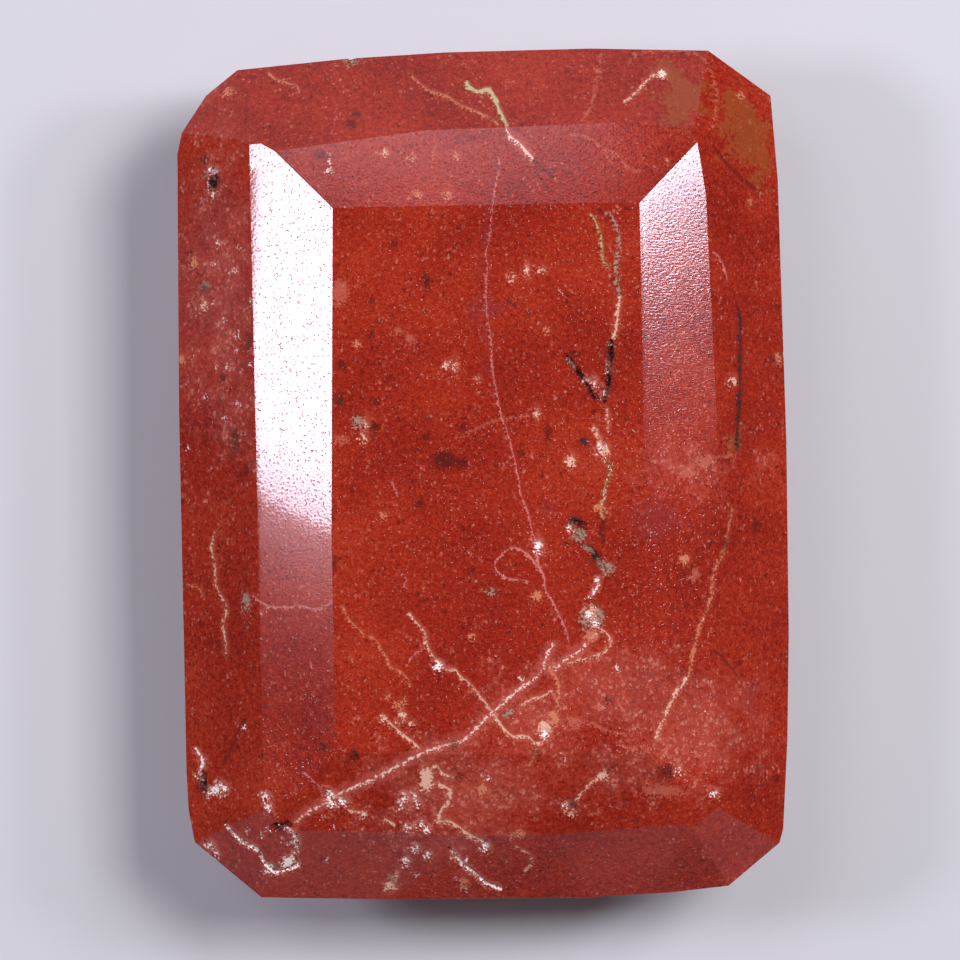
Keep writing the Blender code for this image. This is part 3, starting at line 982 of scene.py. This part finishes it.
def relief(tree, ground, scratched):
    """The fine relief: pits where grains fell out, and the lap's scratches."""
    grains = add(tree, "TexNoise", {"Vector": ground.in_mm, "Scale": GRAINS_PER_MM, "Detail": 0.0})
    pits = add(tree, "MapRange", {0: grains, 1: PIT_FROM, 2: PIT_TO, 3: 0.0, 4: PIT_DEPTH})
    turn = (0.0, 0.0, SCRATCH_TURN)
    lines = add(tree, "Mapping", {0: ground.in_mm, 2: turn, 3: SCRATCHES_PER_MM})
    lines = add(tree, "TexNoise", {"Vector": lines, "Scale": 1.0, "Detail": 0.0})
    lines = add(tree, "Math", {0: lines, 1: scratched}, operation="MULTIPLY")
    height = add(tree, "Math", {0: grains, 1: GRAIN_HEIGHT, 2: pits}, operation="MULTIPLY_ADD")
    height = add(tree, "Math", {0: lines, 1: SCRATCH_HEIGHT, 2: height}, operation="MULTIPLY_ADD")
    return add(tree, "Bump", {"Strength": 1.0, "Distance": RELIEF, "Height": height})


print("the relief's unit in mm:", RELIEF / MM)

# %% [markdown]
# All these nodes in one material would be more than the renderer can hold. So the stone is
# divided into areas, and each area has a jasper of its own with only the markings that touch it.
# The ground is the same in all of them, so no border shows. A face under the girdle takes the
# jasper of the area that its veins come down from.

# %% Mix the jasper of an area
JASPER_IOR = 1.54


def mix_jasper(name, area):
    """Polished red jasper with the markings of one area."""
    material = bpy.data.materials.new(name)
    material.use_nodes = True
    tree = material.node_tree
    shader = tree.nodes["Principled BSDF"]
    shader.inputs["IOR"].default_value = JASPER_IOR
    ground = coordinates(tree)
    colour, shares = lay_minerals(tree, ground, area)
    rough, scratched = polish(tree, ground, shares)
    tree.links.new(colour, shader.inputs["Base Color"])
    tree.links.new(rough, shader.inputs["Roughness"])
    tree.links.new(relief(tree, ground, scratched), shader.inputs["Normal"])
    return material


print("a facet mirrors", round(((JASPER_IOR - 1.0) / (JASPER_IOR + 1.0)) ** 2, 3), "of the light")

# %% Give each face the jasper of its area
AREA_X = (-60.0, -9.0, 7.0, 60.0)
AREA_Y = (-60.0, -21.0, -11.0, 12.0, 60.0)

stone.data.materials.clear()
middles = np.array([face.center[:] for face in stone.data.polygons]) / MM
middles = middles[:, :2] + LEAN * np.maximum(0.0, GIRDLE_TOP / MM - middles[:, 2:])
columns = np.searchsorted(AREA_X, middles[:, 0]) - 1
rows = np.searchsorted(AREA_Y, middles[:, 1]) - 1
for row, (south, north) in enumerate(zip(AREA_Y[:-1], AREA_Y[1:])):
    for column, (west, east) in enumerate(zip(AREA_X[:-1], AREA_X[1:])):
        area = np.array(((west, south), (east, north)))
        material = mix_jasper(f"polished_red_jasper_{row}_{column}", area)
        stone.data.materials.append(material)
        print(material.name, "has", len(material.node_tree.nodes), "nodes")
area_numbers = (rows * (len(AREA_X) - 1) + columns).astype(np.int32)
stone.data.polygons.foreach_set("material_index", area_numbers)
stone.data.update()

# %% [markdown]
# ## The light
#
# A polished stone shows its lights as mirrors do, so each highlight says where its light stood.
# The sight line to a pixel is mirrored in the facet that it meets. Two pixels on the lower border
# of a highlight give the lower edge of a card, and the card goes on up from there. Its width,
# its length and its distance are in metres. The bright cards stand for two windows, and a dim and
# narrow one below each makes its highlight fade out. The lights themselves are hidden from the
# camera, and only what they do to the stone is seen.

# %% Mirrored sight lines and lights
def mirrored(px, py):
    """The place that a pixel shows, and where its facet mirrors the camera's sight line to."""
    place, facing = seen_at(px, py)
    return place, sight(px, py).reflect(facing).normalized()


def add_light(name, place, aim, width, length, brightness, colour, turn=0.0):
    """An area light that faces aim. Brightness is what a mirror shows of it."""
    bpy.ops.object.light_add(type="AREA", location=place)
    light = bpy.context.object
    light.name = name
    back = (place - aim).normalized()
    side = Vector((0.0, 1.0, 0.0)).cross(back).normalized()
    up = back.cross(side)
    square = Matrix((side, up, back)).transposed()
    light.rotation_euler = (square @ Matrix.Rotation(radians(turn), 3, "Z")).to_euler()
    light.data.shape = "RECTANGLE"
    light.data.size, light.data.size_y = width, length
    light.data.color = linear(colour)[:3]
    light.data.energy = brightness * pi * width * length
    light.visible_camera = False
    return light


ON_LEFT_FACET = (290, 400)
way = mirrored(*ON_LEFT_FACET)[1]
print("the facet left of the table mirrors the camera towards", [round(v, 2) for v in way])


# %% Hang the cards
CARD_DISTANCE = 0.325
COOL = "#EDEBFF"


def card_above(name, first, last, width, length, brightness):
    """A card whose lower edge is mirrored through two pixels, first on its left."""
    (start, start_way), (end, end_way) = mirrored(*first), mirrored(*last)
    low, high = start + start_way * CARD_DISTANCE, end + end_way * CARD_DISTANCE
    aim = (start + end) / 2
    back = ((low + high) / 2 - aim).normalized()
    side = Vector((0.0, 1.0, 0.0)).cross(back).normalized()
    up = back.cross(side)
    turn = atan2((high - low).dot(up), (high - low).dot(side))
    middle = (low + high) / 2 + (up * cos(turn) - side * sin(turn)) * length / 2
    print(name, "stands at", [round(v * 1000) for v in middle], "mm, turned", round(degrees(turn)))
    return add_light(name, middle, middle - back, width, length, brightness, COOL, degrees(turn))


card_above("left_window", first=(262, 494), last=(325, 522),
           width=0.063, length=0.075, brightness=32.0)
card_above("left_sill", first=(262, 560), last=(325, 588),
           width=0.052, length=0.010, brightness=1.8)
card_above("right_window", first=(652, 207), last=(696, 179),
           width=0.055, length=0.060, brightness=38.0)
card_above("right_sill", first=(652, 300), last=(696, 285),
           width=0.052, length=0.012, brightness=0.4)
card_above("back_card", first=(345, 202), last=(480, 201),
           width=0.060, length=0.050, brightness=2.3)

# %% [markdown]
# The steep outer step mirrors what stands low around the stone. Low cards in front, at the back
# and behind the upper left corner brighten the steps on those sides, and a narrow one on the left
# gives the sheen along the left edge. Each is given by its direction round the stone, its width
# and its height in metres, and its brightness.

# %% Low cards round the stone
LOW_CARD = 0.40
LOW_HEIGHT = 0.125
ORIGIN = Vector((0.0, 0.0, 0.0))


def low_card(name, direction, width, height, brightness):
    """An upright card that stands low in a direction, in degrees from +X, and faces the stone."""
    turn = radians(direction)
    place = Vector((cos(turn) * LOW_CARD, sin(turn) * LOW_CARD, LOW_HEIGHT))
    card = add_light(name, place, ORIGIN, width, height, brightness, COOL)
    card.rotation_euler = place.to_track_quat("Z", "Y").to_euler()


low_card("front_low_card", direction=270.0, width=0.80, height=0.16, brightness=0.42)
low_card("corner_low_card", direction=137.0, width=0.30, height=0.20, brightness=0.50)
low_card("back_low_card", direction=94.0, width=0.26, height=0.20, brightness=0.50)
low_card("left_low_card", direction=176.2, width=0.034, height=0.10, brightness=0.35)
print("the low cards stand", round(LOW_CARD / MM), "mm from the stone's middle")

# %% [markdown]
# Two soft boxes hang high over the far end of the stone, the stronger one to the right. No facet
# mirrors them into the camera, so they only bring out the red. The world adds a dim neutral light
# from all round.

# %% Soft boxes and world
SOFT_BOX = 0.20
RIGHT_BOX, RIGHT_BRIGHTNESS = Vector((0.27, 0.16, 0.50)), 18.5
LEFT_BOX, LEFT_BRIGHTNESS = Vector((-0.20, 0.18, 0.52)), 3.0
WORLD_LIGHT = 0.10

for name, place, brightness in (
    ("soft_box_right", RIGHT_BOX, RIGHT_BRIGHTNESS),
    ("soft_box_left", LEFT_BOX, LEFT_BRIGHTNESS),
):
    add_light(name, place, ORIGIN, SOFT_BOX, SOFT_BOX, brightness, "#FFFFFF")

world = bpy.data.worlds.new("studio")
bpy.context.scene.world = world
world.use_nodes = True
world.node_tree.nodes["Background"].inputs["Color"].default_value = linear("#E6E4EA")
world.node_tree.nodes["Background"].inputs["Strength"].default_value = WORLD_LIGHT
bpy.context.scene.view_settings.view_transform = "Standard"
print("lights:", sum(item.type == "LIGHT" for item in bpy.data.objects))

# %% [markdown]
# The stone lies on a plain pale table top with a matt surface.

# %% The floor
FLOOR_WIDTH = 6.0

bpy.ops.object.select_all(action="DESELECT")
bpy.ops.mesh.primitive_plane_add(size=FLOOR_WIDTH, location=ORIGIN)
floor = bpy.context.object
floor.name = "floor"
plaster = bpy.data.materials.new("matt_white_board")
plaster.use_nodes = True
board = plaster.node_tree.nodes["Principled BSDF"]
board.inputs["Base Color"].default_value = linear("#C9C8CC")
board.inputs["Roughness"].default_value = 0.9
floor.data.materials.append(plaster)
print("floor in metres:", [round(side, 2) for side in floor.dimensions])
